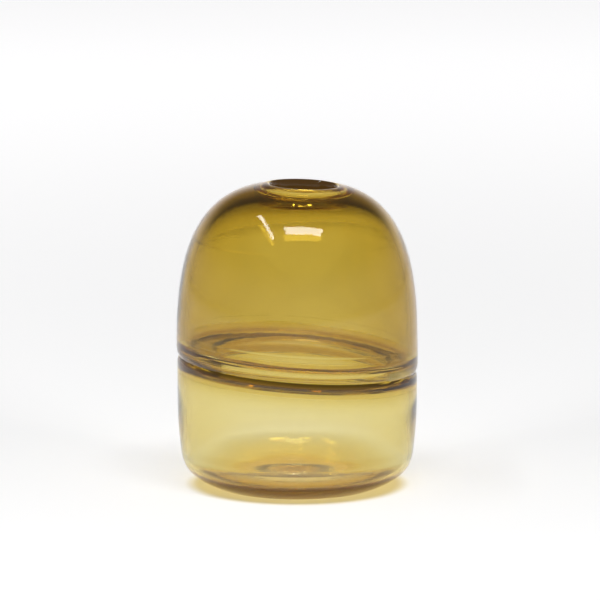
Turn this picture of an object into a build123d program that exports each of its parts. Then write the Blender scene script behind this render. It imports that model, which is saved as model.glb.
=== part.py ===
from build123d import *
import os
from math import cos, radians, sin, tan

# Hand-blown bud vase: a domed upper bubble stacked on a low lower bubble.
# Each function makes one of the five masses of glass, which are fused face to face.
# All sizes are in millimetres. +Z is up, and the origin is the centre of the base.

# Straight walls
BODY_R = 39.25  # outside radius just above the waist, the widest place
WALL = 3.1
LOWER_R = 39.0  # outside radius just below the waist
LOWER_WALL = 2.1

# Waist: the pinched line outside and the shelf inside, both on one slanting plane
WAIST_Z = 40.2  # height of the pinched line on the vase's axis
WAIST_SLOPE = tan(radians(4.0))  # it is high at -X and low at +X
RING_UP = 6.4  # height of the ring's upper joint above the pinched line
RING_DOWN = 4.8  # depth of its lower joint below that line
PINCH_DEPTH = 0.85
PINCH_LEAN = 0.7  # how far each lobe leans in at the line, for each unit of height
LOBE_UP = 3.0  # the glass above the line rounds in over this height
LOBE_DOWN = 3.6  # and the glass below it rounds back out over this one
SHELF_TOP = 3.1  # heights of the shelf's two faces from the pinched line
SHELF_BOTTOM = -2.2
EDGE_UP = 1.8  # the shelf's inner edge is rounded above and below
EDGE_DOWN = 1.0
FILLET_UP = 2.1  # hollow curves where the shelf meets the walls
FILLET_DOWN = 1.8
HOLE_R = 28.1  # the opening between the two bubbles
HOLE_SHIFT = 1.5  # the opening's centre is this far towards +X

# Dome of the upper bubble
STRAIGHT_TOP = 49.0  # the straight wall ends here and the dome begins
DOME_CENTRE = 41.5
DOME_RISE = 57.6
DOME_POWER = 2.94  # 2 would make the dome half an ellipse; a larger power squares it
CROWN_THICK = 4.0  # the glass is thickest around the mouth

# Mouth: a rounded bead of glass, set into the crown and leaning with it
MOUTH_SHIFT = 2.0  # the mouth's centre is this far towards +X
MOUTH_R = 10.3
LIP_R = 15.0  # the bead meets the crown on a cylinder of this radius
LIP_THICK = 5.8
CREST_IN = 1.3  # the top of the rim is this far out from the mouth's edge
CREST_RISE = 0.75  # and as high as the dome is this far out

# Base of the lower bubble
HEEL_Z = 14.6  # the rounded heel starts here
HEEL_R = 38.2
HEEL_WALL = 2.6
HEEL_IN = 2.3  # part way down, the heel has come in this much
HEEL_MID_Z = 5.9
FOOT_R = 27.6
FOOT_WIDTH = 3.0  # the vase stands on a ring this wide
FLOOR_THICK = 4.4
FLOOR_DISH = 1.0  # the floor's upper face dips this much in the middle
INNER_ROUND = 6.0  # radius of the hollow corner between the floor and the wall
KICK_UP = 0.9  # rise of the underside around the pontil scar

# Pontil scar, the round disc left where the vase was held
PONTIL_R = 15.2
PONTIL_GAP = 0.15  # its clearance above the table


def turned(edges, shift=0.0):
    """Solid of revolution about a vertical axis, from a closed outline in (radius, height)."""
    outline = make_face(Curve() + edges)
    return Pos(shift, 0, 0) * revolve(Plane.XZ * outline, Axis.Z)


def path(*points):
    """Straight edges through the points."""
    return [Line(a, b) for a, b in zip(points, points[1:])]


def bend(start, along_start, end, along_end):
    """Smooth curve that leaves start along one direction and reaches end along another."""
    return Spline(start, end, tangents=(along_start, along_end))


def sheared(solid, slope, shift, lift=0.0):
    """Lean a solid down towards +X about a vertical line, so level planes become slanting."""
    return solid.transform_geometry(Matrix([
        [1, 0, 0, 0],
        [0, 1, 0, 0],
        [-slope, 0, 1, lift + slope * shift],
        [0, 0, 0, 1],
    ]))


def dome_height(radius):
    """Height of the dome's outside at a distance from the vase's axis."""
    return DOME_CENTRE + DOME_RISE * (1 - (radius / BODY_R) ** DOME_POWER) ** (1 / DOME_POWER)


def dome_curve(radius, rise, end_angle=82, steps=8):
    """Smooth curve from the straight wall up over the dome, a rounded-square arch."""
    points = [(radius, STRAIGHT_TOP)]
    first_angle = 8
    for step in range(steps):
        angle = radians(first_angle + (end_angle - first_angle) * step / (steps - 1))
        across = radius * cos(angle) ** (2 / DOME_POWER)
        up = DOME_CENTRE + rise * sin(angle) ** (2 / DOME_POWER)
        points.append((across, up))
    return Spline(points)


def waist_cut(solid, offset, keep):
    """Keep one side of a solid, cut along a plane parallel to the slanting waist."""
    slanted = Plane(origin=(0, 0, WAIST_Z + offset), z_dir=(WAIST_SLOPE, 0, 1))
    return split(solid, bisect_by=slanted, keep=keep)


def upper_bubble():
    """Domed upper bubble, cut round the mouth's bead and along the waist."""
    low = WAIST_Z
    inner_r = BODY_R - WALL
    outer = dome_curve(BODY_R, DOME_RISE)
    inner = dome_curve(inner_r, DOME_RISE - CROWN_THICK)
    outer_top = outer @ 1
    inner_top = inner @ 1
    edges = path((BODY_R, low), (BODY_R, STRAIGHT_TOP)) + [outer]
    edges += path(outer_top, (0, outer_top.Y), (0, inner_top.Y), inner_top) + [inner]
    edges += path((inner_r, STRAIGHT_TOP), (inner_r, low), (BODY_R, low))
    bore = turned(path((0, 80), (LIP_R, 80), (LIP_R, 110), (0, 110), (0, 80)), MOUTH_SHIFT)
    return waist_cut(turned(edges) - bore, RING_UP, Keep.TOP)


def mouth_lip():
    """Rounded bead of glass around the mouth, flush with the crown outside."""
    outer_z = dome_height(LIP_R)
    crest = (MOUTH_R + CREST_IN, dome_height(MOUTH_R + CREST_RISE))
    throat = (MOUTH_R, crest[1] - LIP_THICK * 0.55)
    under = (MOUTH_R + LIP_THICK / 2, crest[1] - LIP_THICK)
    inner_z = outer_z - CROWN_THICK
    edges = [
        bend((LIP_R, outer_z), (-1, 0.2), crest, (-1, 0)),
        bend(crest, (-1, 0), throat, (0, -1)),
        bend(throat, (0, -1), under, (1, 0)),
        bend(under, (1, 0), (LIP_R, inner_z), (1, -0.3)),
    ]
    edges += path((LIP_R, inner_z), (LIP_R, outer_z))
    high_side = dome_height(LIP_R - MOUTH_SHIFT)
    low_side = dome_height(LIP_R + MOUTH_SHIFT)
    slope = (high_side - low_side) / (2 * LIP_R)
    return sheared(turned(edges, MOUTH_SHIFT), slope, MOUTH_SHIFT)


def hole_tool():
    """The opening through the shelf, which leaves the shelf with a rounded inner edge."""
    upper = SHELF_TOP - EDGE_UP
    lower = SHELF_BOTTOM + EDGE_DOWN
    edges = path((0, SHELF_BOTTOM), (HOLE_R + EDGE_DOWN, SHELF_BOTTOM))
    edges.append(RadiusArc((HOLE_R + EDGE_DOWN, SHELF_BOTTOM), (HOLE_R, lower), EDGE_DOWN))
    edges += path((HOLE_R, lower), (HOLE_R, upper))
    edges.append(RadiusArc((HOLE_R, upper), (HOLE_R + EDGE_UP, SHELF_TOP), EDGE_UP))
    edges += path((HOLE_R + EDGE_UP, SHELF_TOP), (0, SHELF_TOP), (0, SHELF_BOTTOM))
    return turned(edges, HOLE_SHIFT)


def waist_ring():
    """Solid ring between the bubbles: pinched line outside, shelf inside, on the slant."""
    upper_r = BODY_R - WALL
    lower_r = LOWER_R - LOWER_WALL
    pinch = (BODY_R - PINCH_DEPTH, 0)
    upper_foot = (upper_r, SHELF_TOP + FILLET_UP)
    lower_foot = (lower_r, SHELF_BOTTOM - FILLET_DOWN)
    upper_corner = (upper_r - FILLET_UP, SHELF_TOP)
    lower_corner = (lower_r - FILLET_DOWN, SHELF_BOTTOM)
    edges = path((BODY_R, RING_UP), (BODY_R, LOBE_UP))
    edges.append(bend((BODY_R, LOBE_UP), (0, -1), pinch, (-PINCH_LEAN, -1)))
    edges.append(bend(pinch, (PINCH_LEAN, -1), (LOWER_R, -LOBE_DOWN), (0, -1)))
    edges += path((LOWER_R, -LOBE_DOWN), (LOWER_R, -RING_DOWN), (lower_r, -RING_DOWN), lower_foot)
    edges.append(RadiusArc(lower_foot, lower_corner, -FILLET_DOWN))
    edges += path(lower_corner, (0, SHELF_BOTTOM), (0, SHELF_TOP), upper_corner)
    edges.append(RadiusArc(upper_corner, upper_foot, -FILLET_UP))
    edges += path(upper_foot, (upper_r, RING_UP), (BODY_R, RING_UP))
    return sheared(turned(edges) - hole_tool(), WAIST_SLOPE, 0, WAIST_Z)


def lower_bubble():
    """Low lower bubble with a rounded heel and a thick dished floor, cut along the waist."""
    top = WAIST_Z
    taper_top = WAIST_Z - RING_DOWN - 3
    inner_r = LOWER_R - LOWER_WALL
    inner_low = HEEL_R - HEEL_WALL
    ring_r = FOOT_R - FOOT_WIDTH
    heel_mid = (HEEL_R - HEEL_IN, HEEL_MID_Z)
    floor_edge = (inner_low - INNER_ROUND, FLOOR_THICK)
    inner_heel = (inner_low, FLOOR_THICK + INNER_ROUND)
    edges = path((LOWER_R, top), (LOWER_R, taper_top))
    edges.append(bend((LOWER_R, taper_top), (0, -1), (HEEL_R, HEEL_Z), (-0.12, -1)))
    edges.append(bend((HEEL_R, HEEL_Z), (-0.12, -1), heel_mid, (-0.75, -1)))
    edges.append(bend(heel_mid, (-0.75, -1), (FOOT_R, 0), (-1, -0.4)))
    edges += path((FOOT_R, 0), (ring_r, 0))
    edges.append(bend((ring_r, 0), (-1, 0.3), (PONTIL_R, KICK_UP), (-1, 0.05)))
    edges += path((PONTIL_R, KICK_UP), (0, KICK_UP), (0, FLOOR_THICK - FLOOR_DISH))
    edges.append(bend((0, FLOOR_THICK - FLOOR_DISH), (1, 0), floor_edge, (1, 0)))
    edges.append(RadiusArc(floor_edge, inner_heel, -INNER_ROUND))
    edges.append(bend(inner_heel, (0, 1), (inner_r, taper_top), (0, 1)))
    edges += path((inner_r, taper_top), (inner_r, top), (LOWER_R, top))
    return waist_cut(turned(edges), -RING_DOWN, Keep.BOTTOM)


def pontil_disc():
    """Polished round scar under the middle of the floor, clear of the table."""
    thick = KICK_UP - PONTIL_GAP
    disc = Pos(0, 0, PONTIL_GAP + thick / 2) * Cylinder(PONTIL_R, thick)
    return fillet(disc.edges().group_by(Axis.Z)[0], thick / 2)


PIECES = {
    "mouth_lip": mouth_lip,
    "upper_bubble": upper_bubble,
    "waist_ring": waist_ring,
    "lower_bubble": lower_bubble,
    "pontil_disc": pontil_disc,
}

os.makedirs("parts", exist_ok=True)
for name, make in PIECES.items():
    export_step(make(), f"parts/{name}.step")
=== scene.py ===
from math import cos, pi, radians, tan

import bmesh
import bpy
import numpy as np
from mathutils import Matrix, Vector


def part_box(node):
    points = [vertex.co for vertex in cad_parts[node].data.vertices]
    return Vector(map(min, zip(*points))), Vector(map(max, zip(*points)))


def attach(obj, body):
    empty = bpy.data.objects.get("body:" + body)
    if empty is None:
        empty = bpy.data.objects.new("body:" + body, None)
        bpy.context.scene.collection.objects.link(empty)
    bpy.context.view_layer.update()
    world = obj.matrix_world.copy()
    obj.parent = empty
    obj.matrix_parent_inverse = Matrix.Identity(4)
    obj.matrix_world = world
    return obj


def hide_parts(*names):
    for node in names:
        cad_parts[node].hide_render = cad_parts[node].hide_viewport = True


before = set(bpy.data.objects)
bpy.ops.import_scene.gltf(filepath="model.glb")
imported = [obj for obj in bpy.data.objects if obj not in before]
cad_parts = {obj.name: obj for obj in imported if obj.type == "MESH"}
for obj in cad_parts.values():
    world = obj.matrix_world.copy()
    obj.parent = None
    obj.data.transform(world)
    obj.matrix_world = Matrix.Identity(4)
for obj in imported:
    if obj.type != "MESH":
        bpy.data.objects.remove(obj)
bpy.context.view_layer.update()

# Sizes are in metres. The glass is made again here, piece for piece, with finer skins than the
# CAD has: the same joints, wall and outline, plus the slight unevenness of hand-blown glass.
# Overall sizes and positions are the CAD pieces' own.

MM = 0.001
lip_low, lip_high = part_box("mouth_lip")
ring_low, ring_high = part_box("waist_ring")
lower_low, lower_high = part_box("lower_bubble")
pontil_low, pontil_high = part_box("pontil_disc")

SEAM = 0.02 * MM  # half the hair's breadth left between two fused pieces
AROUND = 240  # points around each ring of a skin
STEP = 0.5 * MM  # spacing of the points along an outline

# Waist: heights are from the pinched line, which is at WAIST_Z on the vase's axis
BODY_R = (ring_high[1] - ring_low[1]) / 2
WALL = 3.1 * MM
WAIST_SLOPE = tan(radians(4.0))
RING_UP = 6.4 * MM
RING_DOWN = 4.8 * MM
WAIST_Z = (ring_low[2] + ring_high[2] - RING_UP + RING_DOWN) / 2
PINCH_DEPTH = 0.85 * MM
PINCH_LEAN = 0.7
LOBE_UP = 3.0 * MM
LOBE_DOWN = 3.6 * MM
SHELF_TOP = 3.1 * MM
SHELF_BOTTOM = -2.2 * MM
EDGE_UP = 1.8 * MM
EDGE_DOWN = 1.0 * MM
FILLET_UP = 2.1 * MM
FILLET_DOWN = 1.8 * MM
HOLE_R = 28.1 * MM
HOLE_SHIFT = 1.5 * MM

# Dome
STRAIGHT_TOP = 49.0 * MM
DOME_CENTRE = 41.5 * MM
DOME_RISE = 57.6 * MM
DOME_POWER = 2.94
CROWN_THICK = 4.0 * MM

# Mouth
LIP_R = (lip_high[1] - lip_low[1]) / 2
MOUTH_SHIFT = (lip_high[0] + lip_low[0]) / 2
MOUTH_R = 10.3 * MM
LIP_THICK = 5.8 * MM
CREST_IN = 1.3 * MM
CREST_RISE = 0.75 * MM

# Base
LOWER_R = (lower_high[1] - lower_low[1]) / 2
LOWER_WALL = 2.1 * MM
HEEL_Z = 14.6 * MM
HEEL_R = 38.2 * MM
HEEL_WALL = 2.6 * MM
HEEL_IN = 2.3 * MM
HEEL_MID_Z = 5.9 * MM
INNER_ROUND = 6.0 * MM
FOOT_R = 27.6 * MM
FOOT_WIDTH = 3.0 * MM
FOOT_Z = 0.22 * MM
FLOOR_THICK = 4.4 * MM
FLOOR_DISH = 1.0 * MM
PONTIL_R = (pontil_high[1] - pontil_low[1]) / 2
PONTIL_Z = pontil_low[2]
KICK_UP = pontil_high[2]

# Colour. A skin's depth says how much one crossing dims blue light, which is exp(-depth).
AMBER = (0.183, 0.3, 1.0)  # how strongly amber glass takes red, green and blue
UPPER_AMBER = 480  # how strongly each glass takes blue light, for each metre
WORKED_AMBER = 95
LOWER_AMBER = 262
WAIST_FADE = 0.95  # depth of the extra skin just below the waist
FADE_LENGTH = 2.5 * MM  # it fades to about a third over this height
HEEL_SKIN = 1.0
BAND_SKIN = 0.1  # the pale band over the pinched line
SHADE_LINE_SKIN = 1.5  # the dark line under it, painted shade
SHELF_SKIN = 0.3
SHELF_TOP_SKIN = 0.9
CORNER_SHADE_SKIN = 3.8  # painted shade in the hollow corner over the shelf
LIP_SKIN_SHARE = 0.5  # of the colour that the bead lacks, next to the dome's glass
LIP_GLOW = 0.035  # the glow stands in for light that travels inside the glass
RING_GLOW = 0.008
HEEL_GLOW = 0.03
GLOW_COLOUR = (1.0, 0.5, 0.12, 1)
GLASS_IOR = 1.5
JOINT = "joint"
SKIN_WAVES = {"outside": (0.06 * MM, 1.0), "inside": (0.12 * MM, 4.0)}  # height and seed

# Light
SIDE_LIGHT = 0.5  # light from the sides and the front, as a share of the light from behind
OVERHEAD_LIGHT = 0.1
HORIZON_LIGHT = 0.9
SHADOW_SHARE = 0.45  # the rest casts no shadow, in place of light that comes through the walls


def smooth(t):
    """0 below 0, 1 above 1, and an S-curve between."""
    t = np.clip(t, 0, 1)
    return t * t * (3 - 2 * t)


def line(a, b):
    """Points from a to b, without b."""
    a, b = np.array(a), np.array(b)
    count = max(2, int(np.ceil(np.linalg.norm(b - a) / STEP)))
    return [a + (b - a) * i / count for i in range(count)]


def arc(centre, radius, start, end):
    """Points on a round arc between two angles in degrees, without its end."""
    start, end = radians(start), radians(end)
    count = max(6, int(abs(end - start) * radius / STEP))
    angles = [start + (end - start) * i / count for i in range(count)]
    return [np.array(centre) + radius * np.array([cos(a), np.sin(a)]) for a in angles]


def curve(a, along_a, b, along_b):
    """Points on a smooth curve that leaves a along one direction and reaches b along another."""
    a, b = np.array(a), np.array(b)
    reach = np.linalg.norm(b - a)
    da = np.array(along_a) / np.linalg.norm(along_a) * reach
    db = np.array(along_b) / np.linalg.norm(along_b) * reach
    count = max(6, int(np.ceil(reach / STEP)))
    points = []
    for i in range(count):
        t = i / count
        points.append((2 * t**3 - 3 * t**2 + 1) * a + (t**3 - 2 * t**2 + t) * da
                      + (3 * t**2 - 2 * t**3) * b + (t**3 - t**2) * db)
    return points


def dome_height(radius):
    """Height of the dome's outside at a radius: an arch between a half-ellipse and a box."""
    return DOME_CENTRE + DOME_RISE * (1 - (radius / BODY_R) ** DOME_POWER) ** (1 / DOME_POWER)


def dome(depth_at, end_r):
    """Points up the dome at a depth below its outside, from the straight wall in to a radius."""
    power = 2 / DOME_POWER
    first = np.arcsin(((STRAIGHT_TOP - DOME_CENTRE) / DOME_RISE) ** (1 / power))
    points = []
    for angle in np.linspace(first, pi / 2 - 0.02, 150):
        radius = BODY_R * cos(angle) ** power
        height = DOME_CENTRE + DOME_RISE * np.sin(angle) ** power
        out = np.array([
            DOME_RISE * np.sin(angle) ** (power - 1) * cos(angle),
            BODY_R * cos(angle) ** (power - 1) * np.sin(angle),
        ])
        point = np.array([radius, height]) - depth_at(radius) * out / np.linalg.norm(out)
        if point[0] <= end_r:
            break
        points.append(point)
    return points


def waist_share(z):
    """How far a height follows the waist's slant: fully at the waist, not at all well away."""
    above = 1 - smooth((z - WAIST_Z - RING_UP) / (16 * MM))
    below = 1 - smooth((WAIST_Z - RING_DOWN - z) / (16 * MM))
    return above * below


def unevenness(angle, z, seed):
    """Slow waves in a hand-blown skin, from about -1 to 1, the same on both sides of a joint."""
    height = z / (100 * MM)
    waves = 0.5 * np.sin(2 * angle + 3 * height + seed)
    waves += 0.3 * np.sin(3 * angle - 7 * height + 2.1 * seed)
    waves += 0.2 * np.sin(5 * angle + 11 * height + 3.7 * seed)
    return waves


def crown_lift(x, y, radius):
    """How far a ring of points round the off-centre mouth moves up to stay on the dome."""
    return dome_height(np.hypot(x, y)) - dome_height(radius)


def place_ring(radius, z, skin):
    """One ring of points at a radius and height, moved as the real glass is."""
    angle = np.arange(AROUND) * 2 * pi / AROUND
    wave_height, seed = SKIN_WAVES[skin]
    fade = smooth((radius - 20 * MM) / (10 * MM))
    r = radius + wave_height * fade * unevenness(angle, z, seed)
    x = r * np.cos(angle)
    y = r * np.sin(angle)
    lift = 0
    if z > 80 * MM:
        lean = MOUTH_SHIFT * smooth((34 * MM - radius) / (14 * MM))
        rim_r = max(radius, LIP_R)
        lift = crown_lift(rim_r * np.cos(angle) + lean, rim_r * np.sin(angle), rim_r)
        x = x + lean
    elif abs(z - WAIST_Z) < 6 * MM:
        x = x + HOLE_SHIFT * smooth((BODY_R - WALL - 0.5 * MM - radius) / (4 * MM))
    slant = -WAIST_SLOPE * x * waist_share(z)
    return np.stack([x, y, z + slant + lift], axis=1)


def waist_fade(z):
    """Depth of the extra skin, which fades down from the waist."""
    return float(WAIST_FADE * np.exp(-max(WAIST_Z - RING_DOWN - z, 0) / FADE_LENGTH))


def heel_skin(z):
    """Amber gathered in the thick glass round the heel, and the colour fading from the waist."""
    return waist_fade(z) + HEEL_SKIN * float(smooth((9 * MM - z) / (7 * MM)))


def heel_glow(z):
    """The heel glows faintly, in place of light that travels down inside the wall."""
    return HEEL_GLOW * float(smooth((9 * MM - z) / (5 * MM)))


def ring_skin(z):
    """The ring's own glass is pale, so its skin carries the colour of the walls it joins, and
    painted shade darkens a band just under the pinched line."""
    upper = (UPPER_AMBER - WORKED_AMBER) * WALL
    lower = (LOWER_AMBER - WORKED_AMBER) * LOWER_WALL + waist_fade(z)
    above = smooth((z - WAIST_Z - SHELF_TOP + 0.4 * MM) / (1.2 * MM))
    below = smooth((WAIST_Z - z) / (0.8 * MM))
    # painted shade: the dark line just under the pinched line
    painted_line_shade = SHADE_LINE_SKIN * np.exp(-((WAIST_Z - 1.9 * MM - z) / (1.2 * MM)) ** 2)
    return BAND_SKIN + (upper - BAND_SKIN) * above + (lower - BAND_SKIN) * below + painted_line_shade


def ring_inner_skin(z):
    """Amber lines the shelf too, more on top, and painted shade darkens the hollow corner
    above it.
    """
    top = WAIST_Z + SHELF_TOP
    # painted shade along the hollow corner over the shelf
    corner = CORNER_SHADE_SKIN * np.exp(-((z - top - 0.4 * FILLET_UP) / (0.6 * MM)) ** 2)
    above = smooth((z - top + 1 * MM) / (0.8 * MM))
    return SHELF_SKIN + (SHELF_TOP_SKIN - SHELF_SKIN) * above + corner


def skin_tint(depth):
    """Base colour of a skin. Cycles applies its square root at each crossing."""
    return (*[float(np.exp(-2 * depth * part)) for part in AMBER], 1)


def on_axis(point):
    return point[0] < 0.01 * MM


def nothing(z):
    """No skin, or no glow, at any height."""
    return 0


def turn(name, *stretches, outer_skin=nothing, inner_skin=nothing, glow=nothing):
    """Closed glass mesh turned from stretches of outline, each (skin, points), with JOINT where
    the next link is a face fused to another piece. An outline that starts on the axis is open,
    and any other comes back round to its first point."""
    rows = []
    ends = set()
    for stretch in stretches:
        if stretch is JOINT:
            ends.add(len(rows) - 1)
        else:
            rows += [(stretch[0], point) for point in stretch[1]]
    verts = []
    tints = []
    glows = []
    starts = []
    for skin, (radius, z) in rows:
        ring = [(0.0, 0.0, z)] if on_axis((radius, z)) else place_ring(radius, z, skin)
        depth = outer_skin(z) if skin == "outside" else inner_skin(z)
        starts.append(len(verts))
        verts.extend(map(tuple, ring))
        tints.extend([skin_tint(depth)] * len(ring))
        glows.extend([glow(z)] * len(ring))
    faces, joint = link_rings(rows, starts, ends)
    mesh = bpy.data.meshes.new(name)
    mesh.from_pydata(verts, [], faces)
    mark = mesh.attributes.new("joint_face", "FLOAT", "FACE")
    mark.data.foreach_set("value", np.array(joint, np.float32))
    tint = mesh.attributes.new("tint", "FLOAT_COLOR", "POINT")
    tint.data.foreach_set("color", np.array(tints, np.float32).ravel())
    light = mesh.attributes.new("glow", "FLOAT", "POINT")
    light.data.foreach_set("value", np.array(glows, np.float32))
    mark_sharp(mesh, joint)
    face_outwards(mesh)
    piece = bpy.data.objects.new(name, mesh)
    bpy.context.scene.collection.objects.link(piece)
    return piece


def link_rings(rows, starts, ends):
    """Faces from each ring of points to the next, and whether each face is a joint. Each ring's
    first point is in starts, and the rings that a joint follows are in ends."""
    faces = []
    joint = []
    links = len(rows) - 1 if on_axis(rows[0][1]) else len(rows)
    for i in range(links):
        j = (i + 1) % len(rows)
        a, b = starts[i], starts[j]
        for k in range(AROUND):
            n = (k + 1) % AROUND
            if on_axis(rows[i][1]):
                faces.append((a, b + k, b + n))
            elif on_axis(rows[j][1]):
                faces.append((a + k, b, a + n))
            else:
                faces.append((a + k, b + k, b + n, a + n))
        joint += [i in ends] * AROUND
    return faces, joint


def face_outwards(mesh):
    shell = bmesh.new()
    shell.from_mesh(mesh)
    bmesh.ops.recalc_face_normals(shell, faces=shell.faces)
    shell.to_mesh(mesh)
    shell.free()


def mark_sharp(mesh, joint):
    """Edges where a joint meets a skin are sharp, so the skin's shading is not bent by it."""
    seen = {}
    for polygon in mesh.polygons:
        for key in polygon.edge_keys:
            seen.setdefault(key, []).append(joint[polygon.index])
    sharp = [len(set(seen[edge.key])) > 1 for edge in mesh.edges]
    layer = mesh.attributes.new("sharp_edge", "BOOLEAN", "EDGE")
    layer.data.foreach_set("value", sharp)


def mouth_lip():
    """Thick rounded bead of glass round the mouth, flush with the crown outside."""
    joint_r = LIP_R - SEAM
    outer = (joint_r, dome_height(joint_r))
    top = (MOUTH_R + CREST_IN, dome_height(MOUTH_R + CREST_RISE))
    throat = (MOUTH_R, top[1] - LIP_THICK * 0.55)
    under = (MOUTH_R + LIP_THICK / 2, top[1] - LIP_THICK)
    inner = (joint_r, outer[1] - CROWN_THICK)
    outside = curve(outer, (-1, 0.2), top, (-1, 0))
    inside = curve(top, (-1, 0), throat, (0, -1))
    inside += curve(throat, (0, -1), under, (1, 0))
    inside += curve(under, (1, 0), inner, (1, -0.3)) + [np.array(inner)]
    skin = (UPPER_AMBER - WORKED_AMBER) * LIP_SKIN_SHARE * CROWN_THICK
    return turn("lip_glass", ("outside", outside), ("inside", inside), JOINT,
                outer_skin=lambda z: skin, glow=lambda z: LIP_GLOW)


def upper_bubble():
    """Domed wall, from the waist up to the bead round the mouth."""
    low = WAIST_Z + RING_UP + SEAM
    joint_r = LIP_R + SEAM
    inner_r = BODY_R - WALL
    outer = dome(lambda radius: 0, joint_r)
    outside = line((BODY_R, low), (BODY_R, STRAIGHT_TOP)) + outer
    outside.append(np.array((joint_r, dome_height(joint_r))))
    inner = dome(wall_thickness, joint_r)
    inside = [np.array((joint_r, dome_height(joint_r) - CROWN_THICK))] + inner[::-1]
    inside += line((inner_r, STRAIGHT_TOP), (inner_r, low)) + [np.array((inner_r, low))]
    return turn("upper_glass", ("outside", outside), JOINT, ("inside", inside), JOINT)


def wall_thickness(radius):
    """The dome's wall thickens towards its crown."""
    return WALL + (CROWN_THICK - WALL) * smooth((BODY_R - radius) / (BODY_R - LIP_R))


def waist_ring():
    """Solid ring with the pinched line outside and the round-edged shelf inside."""
    high_r = BODY_R - WALL
    low_r = LOWER_R - LOWER_WALL
    top = RING_UP - SEAM
    bottom = -RING_DOWN + SEAM
    pinch = (BODY_R - PINCH_DEPTH, 0)
    outside = line((BODY_R, top), (BODY_R, LOBE_UP))
    outside += curve((BODY_R, LOBE_UP), (0, -1), pinch, (-PINCH_LEAN, -1))
    outside += curve(pinch, (PINCH_LEAN, -1), (LOWER_R, -LOBE_DOWN), (0, -1))
    outside += line((LOWER_R, -LOBE_DOWN), (LOWER_R, bottom)) + [np.array((LOWER_R, bottom))]
    inside = line((low_r, bottom), (low_r, SHELF_BOTTOM - FILLET_DOWN))
    inside += arc((low_r - FILLET_DOWN, SHELF_BOTTOM - FILLET_DOWN), FILLET_DOWN, 0, 90)
    inside += line((low_r - FILLET_DOWN, SHELF_BOTTOM), (HOLE_R + EDGE_DOWN, SHELF_BOTTOM))
    inside += arc((HOLE_R + EDGE_DOWN, SHELF_BOTTOM + EDGE_DOWN), EDGE_DOWN, 270, 180)
    inside += line((HOLE_R, SHELF_BOTTOM + EDGE_DOWN), (HOLE_R, SHELF_TOP - EDGE_UP))
    inside += arc((HOLE_R + EDGE_UP, SHELF_TOP - EDGE_UP), EDGE_UP, 180, 90)
    inside += line((HOLE_R + EDGE_UP, SHELF_TOP), (high_r - FILLET_UP, SHELF_TOP))
    inside += arc((high_r - FILLET_UP, SHELF_TOP + FILLET_UP), FILLET_UP, 270, 360)
    inside += line((high_r, SHELF_TOP + FILLET_UP), (high_r, top)) + [np.array((high_r, top))]
    lift = np.array([0, WAIST_Z])
    outside = [point + lift for point in outside]
    inside = [point + lift for point in inside]
    return turn("waist_glass", ("outside", outside), JOINT, ("inside", inside), JOINT,
                outer_skin=ring_skin, inner_skin=ring_inner_skin, glow=lambda z: RING_GLOW)


def lower_bubble():
    """Low wall, rounded heel, foot ring, shallow kick-up and thick floor."""
    top = WAIST_Z - RING_DOWN - SEAM
    taper_top = top - 3 * MM
    inner_r = LOWER_R - LOWER_WALL
    inner_low = HEEL_R - HEEL_WALL
    mid = (HEEL_R - HEEL_IN, HEEL_MID_Z)
    foot = (FOOT_R - 0.4 * MM, FOOT_Z)
    foot_inside = (FOOT_R - FOOT_WIDTH, FOOT_Z)
    kick = KICK_UP + SEAM
    outside = line((LOWER_R, top), (LOWER_R, taper_top))
    outside += curve((LOWER_R, taper_top), (0, -1), (HEEL_R, HEEL_Z), (-0.12, -1))
    outside += curve((HEEL_R, HEEL_Z), (-0.12, -1), mid, (-0.75, -1))
    outside += curve(mid, (-0.75, -1), foot, (-1, -0.4))
    outside += curve(foot, (-1, -0.4), foot_inside, (-1, 0.3))
    outside += curve(foot_inside, (-1, 0.3), (PONTIL_R, kick), (-1, 0.05))
    outside.append(np.array((PONTIL_R, kick)))
    corner = (inner_low - INNER_ROUND, FLOOR_THICK)
    inside = curve((0, FLOOR_THICK - FLOOR_DISH), (1, 0), corner, (1, 0))
    inside += arc((corner[0], FLOOR_THICK + INNER_ROUND), INNER_ROUND, 270, 360)
    inside += curve((inner_low, FLOOR_THICK + INNER_ROUND), (0, 1), (inner_r, taper_top), (0, 1))
    inside += line((inner_r, taper_top), (inner_r, top)) + [np.array((inner_r, top))]
    middle = ("inside", [(0, kick)])
    return turn("lower_glass", ("inside", inside), JOINT, ("outside", outside), JOINT, middle,
                outer_skin=heel_skin, glow=heel_glow)


def pontil_disc():
    """Round polished scar under the floor."""
    top = KICK_UP - SEAM
    low = PONTIL_Z
    edge = 0.5 * MM
    under = line((PONTIL_R, top), (PONTIL_R, low + edge))
    under += arc((PONTIL_R - edge, low + edge), edge, 0, -90)
    under += line((PONTIL_R - edge, low), (0, low)) + [np.array((0, low))]
    return turn("pontil_glass", ("inside", [(0, top)]), JOINT, ("inside", under))


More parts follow.
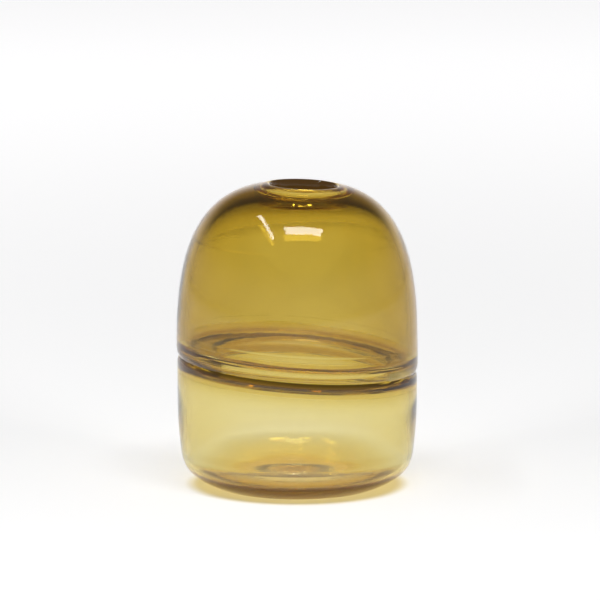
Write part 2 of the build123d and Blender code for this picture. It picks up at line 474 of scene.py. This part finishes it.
def glass(name, amber):
    """Amber glass that takes blue light at the given rate per metre, under a tinted skin that
    holds painted shade in places and a faint painted glow in places. Light crosses a joint
    between two pieces without bending."""
    material = bpy.data.materials.new(name)
    material.use_nodes = True
    nodes = material.node_tree.nodes
    links = material.node_tree.links
    shader = nodes["Principled BSDF"]
    shader.inputs["Roughness"].default_value = 0.0
    shader.inputs["Transmission Weight"].default_value = 1.0
    at_joint = nodes.new("ShaderNodeAttribute")
    at_joint.attribute_name = "joint_face"
    tint = nodes.new("ShaderNodeAttribute")
    tint.attribute_name = "tint"
    colour = nodes.new("ShaderNodeMix")
    colour.data_type = "RGBA"
    links.new(at_joint.outputs["Fac"], colour.inputs["Factor"])
    links.new(tint.outputs["Color"], colour.inputs["A"])
    colour.inputs["B"].default_value = (1, 1, 1, 1)
    links.new(colour.outputs["Result"], shader.inputs["Base Color"])
    bend = nodes.new("ShaderNodeMapRange")
    bend.inputs["To Min"].default_value = GLASS_IOR
    bend.inputs["To Max"].default_value = 1.0
    links.new(at_joint.outputs["Fac"], bend.inputs["Value"])
    links.new(bend.outputs["Result"], shader.inputs["IOR"])
    glow = nodes.new("ShaderNodeAttribute")
    glow.attribute_name = "glow"
    links.new(glow.outputs["Fac"], shader.inputs["Emission Strength"])
    shader.inputs["Emission Color"].default_value = GLOW_COLOUR
    body = nodes.new("ShaderNodeVolumeAbsorption")
    body.inputs["Color"].default_value = (*[1 - part for part in AMBER], 1)
    body.inputs["Density"].default_value = amber
    links.new(body.outputs["Volume"], nodes["Material Output"].inputs["Volume"])
    return material


def floor_material():
    """Smooth pale table top. Its colour is darker and warm under the vase: a painted contact shadow
    tinted by painted amber light, in place of the light that amber glass throws there, and it
    glows further off, where the lamps don't reach, most of all behind."""
    material = bpy.data.materials.new("pale_floor")
    material.use_nodes = True
    nodes = material.node_tree.nodes
    links = material.node_tree.links
    shader = nodes["Principled BSDF"]
    shader.inputs["Roughness"].default_value = 0.7
    shader.inputs["Specular IOR Level"].default_value = 0.2
    shader.inputs["Emission Color"].default_value = (1.0, 0.995, 1.0, 1)
    place = nodes.new("ShaderNodeTexCoord")
    far = nodes.new("ShaderNodeVectorMath")
    far.operation = "LENGTH"
    links.new(place.outputs["Object"], far.inputs[0])
    # painted contact shadow, tinted with painted amber light, under and round the foot
    painted_contact_shadow = ramp(nodes, 31.5 * MM, 37.5 * MM, 0.0, 1.0)
    links.new(far.outputs["Value"], painted_contact_shadow.inputs["Value"])
    colour = nodes.new("ShaderNodeMix")
    colour.data_type = "RGBA"
    colour.inputs["A"].default_value = (0.6, 0.51, 0.22, 1)
    colour.inputs["B"].default_value = (0.88, 0.88, 0.88, 1)
    links.new(painted_contact_shadow.outputs["Result"], colour.inputs["Factor"])
    links.new(colour.outputs["Result"], shader.inputs["Base Color"])
    glow = ramp(nodes, 0.0, 1.2, 0.14, 0.66)
    links.new(far.outputs["Value"], glow.inputs["Value"])
    side = side_dimming(nodes, links, place.outputs["Object"], SIDE_LIGHT)
    near = nodes.new("ShaderNodeMath")
    near.operation = "MULTIPLY"
    links.new(glow.outputs["Result"], near.inputs[0])
    links.new(side, near.inputs[1])
    links.new(near.outputs["Value"], shader.inputs["Emission Strength"])
    return material


def ramp(nodes, low, high, at_low, at_high):
    """Smooth ramp node from one value to another."""
    node = nodes.new("ShaderNodeMapRange")
    node.interpolation_type = "SMOOTHSTEP"
    node.inputs["From Min"].default_value = low
    node.inputs["From Max"].default_value = high
    node.inputs["To Min"].default_value = at_low
    node.inputs["To Max"].default_value = at_high
    return node


def side_dimming(nodes, links, vector, dimmest):
    """1 straight behind the vase, and dimmer round at the sides and in front."""
    unit = nodes.new("ShaderNodeVectorMath")
    unit.operation = "NORMALIZE"
    links.new(vector, unit.inputs[0])
    parts = nodes.new("ShaderNodeSeparateXYZ")
    links.new(unit.outputs["Vector"], parts.inputs["Vector"])
    side = ramp(nodes, 0.65, 0.93, dimmest, 1.0)
    links.new(parts.outputs["Y"], side.inputs["Value"])
    return side.outputs["Result"]


def make_floor():
    bpy.ops.mesh.primitive_circle_add(vertices=96, radius=6.0, fill_type="NGON")
    floor = bpy.context.object
    floor.name = "floor"
    floor.data.materials.append(floor_material())


def make_sky():
    """Pale light low down behind, dim overhead, at the sides and in front."""
    world = bpy.data.worlds.new("studio")
    world.use_nodes = True
    bpy.context.scene.world = world
    nodes = world.node_tree.nodes
    links = world.node_tree.links
    direction = nodes.new("ShaderNodeTexCoord")
    parts = nodes.new("ShaderNodeSeparateXYZ")
    links.new(direction.outputs["Generated"], parts.inputs["Vector"])
    height = ramp(nodes, 0.02, 0.46, HORIZON_LIGHT, 0.0)
    links.new(parts.outputs["Z"], height.inputs["Value"])
    side = side_dimming(nodes, links, direction.outputs["Generated"], SIDE_LIGHT)
    light = nodes.new("ShaderNodeMath")
    light.operation = "MULTIPLY_ADD"
    light.inputs[2].default_value = OVERHEAD_LIGHT
    links.new(height.outputs["Result"], light.inputs[0])
    links.new(side, light.inputs[1])
    links.new(light.outputs["Value"], nodes["Background"].inputs["Strength"])
    nodes["Background"].inputs["Color"].default_value = (0.98, 0.98, 1.0, 1)


def ceiling_light(name, centre, size, radiance):
    """Flat rectangular light in the ceiling, facing down, of which one part casts no shadow."""
    for shadows, share in ((True, SHADOW_SHARE), (False, 1 - SHADOW_SHARE)):
        data = bpy.data.lights.new(name, "AREA")
        data.shape = "RECTANGLE"
        data.size, data.size_y = size
        data.energy = share * radiance * pi * size[0] * size[1]
        data.use_shadow = shadows
        light = bpy.data.objects.new(name, data)
        light.location = centre
        bpy.context.scene.collection.objects.link(light)


def make_camera():
    data = bpy.data.cameras.new("camera")
    data.lens = 318.8
    data.sensor_width = 36
    camera = bpy.data.objects.new("camera", data)
    middle_x = 0.9 * MM
    camera.location = (middle_x, -1.7, 0.35)
    aim = Vector((middle_x, 0, 60.6 * MM)) - camera.location
    camera.rotation_euler = aim.to_track_quat("-Z", "Y").to_euler()
    bpy.context.scene.collection.objects.link(camera)
    bpy.context.scene.camera = camera


GLASSES = {
    "upper_glass": glass("blown_upper", UPPER_AMBER),
    "worked_glass": glass("blown_worked", WORKED_AMBER),
    "lower_glass": glass("blown_lower", LOWER_AMBER),
}
PIECES = {
    "mouth_lip": (mouth_lip, "worked_glass"),
    "upper_bubble": (upper_bubble, "upper_glass"),
    "waist_ring": (waist_ring, "worked_glass"),
    "lower_bubble": (lower_bubble, "lower_glass"),
    "pontil_disc": (pontil_disc, "lower_glass"),
}
for node, (make, slot) in PIECES.items():
    piece = make()
    piece.data.materials.append(GLASSES[slot])
    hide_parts(node)
    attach(piece, "root")

make_floor()
make_sky()
ceiling_light("panel", centre=(0.16, -0.69, 1.5), size=(0.92, 0.32), radiance=26)
ceiling_light("strip", centre=(-0.69, -0.37, 1.5), size=(0.08, 1.2), radiance=28)
make_camera()

scene = bpy.context.scene
scene.view_settings.view_transform = "Standard"
scene.cycles.max_bounces = 32
scene.cycles.transmission_bounces = 32
scene.cycles.glossy_bounces = 12
